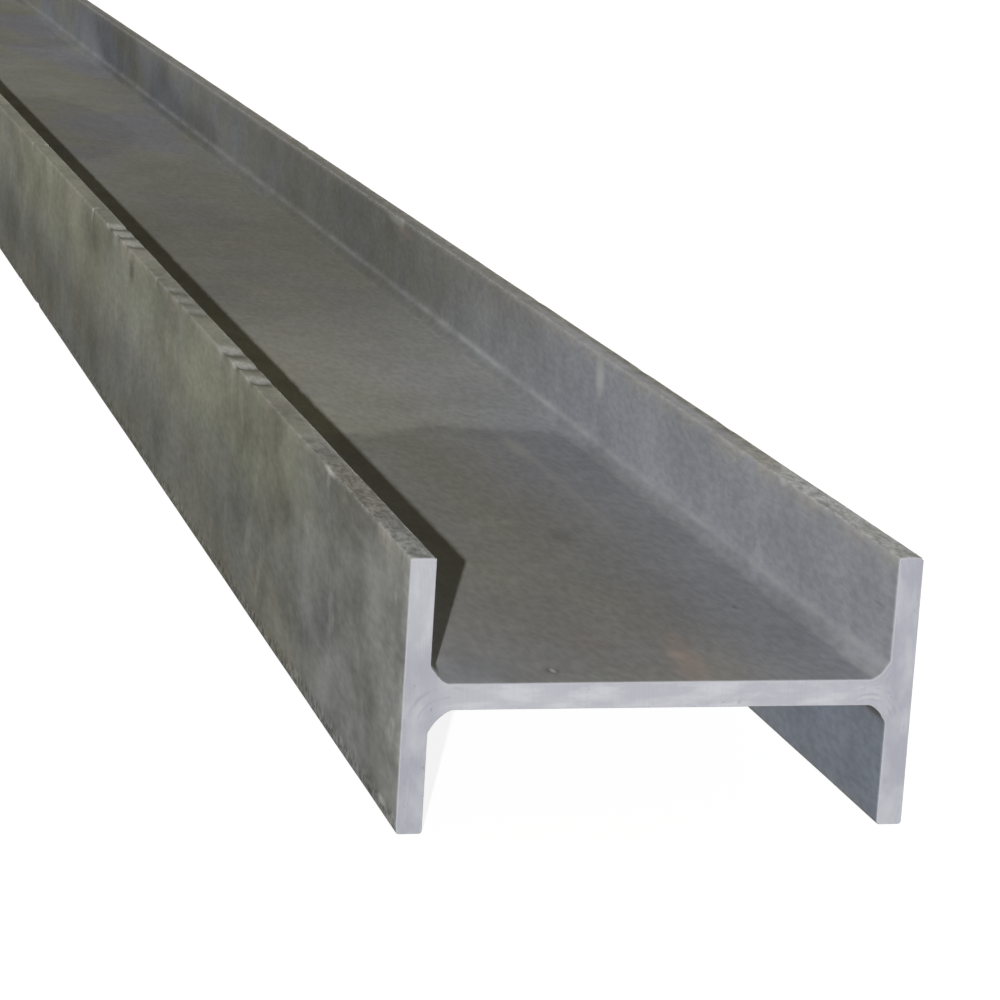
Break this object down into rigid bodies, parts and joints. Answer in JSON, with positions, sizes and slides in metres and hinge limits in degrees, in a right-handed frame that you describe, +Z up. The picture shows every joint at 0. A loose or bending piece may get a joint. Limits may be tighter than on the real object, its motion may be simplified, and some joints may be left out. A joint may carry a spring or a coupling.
{
  "type": "steel i-beam",
  "caption": "Rolled steel beam of I section, with parallel flanges, root fillets and saw-cut ends, lying on its flange tips.",
  "frame": {"origin": "mid length, midway between the two flanges, on the plane that the lower flange tips rest on", "axes": "+Y along the beam, +X across the section from flange to flange, +Z up"},
  "size_m": [0.2, 6, 0.106],
  "materials": {
    "mill_scale_steel": "dark grey mill scale with olive and blue-grey blotches, rubbed edges, and pale saw-cut ends"
  },
  "bodies": {
    "root": {"i_beam": "mill_scale_steel"}
  },
  "joints": []
}
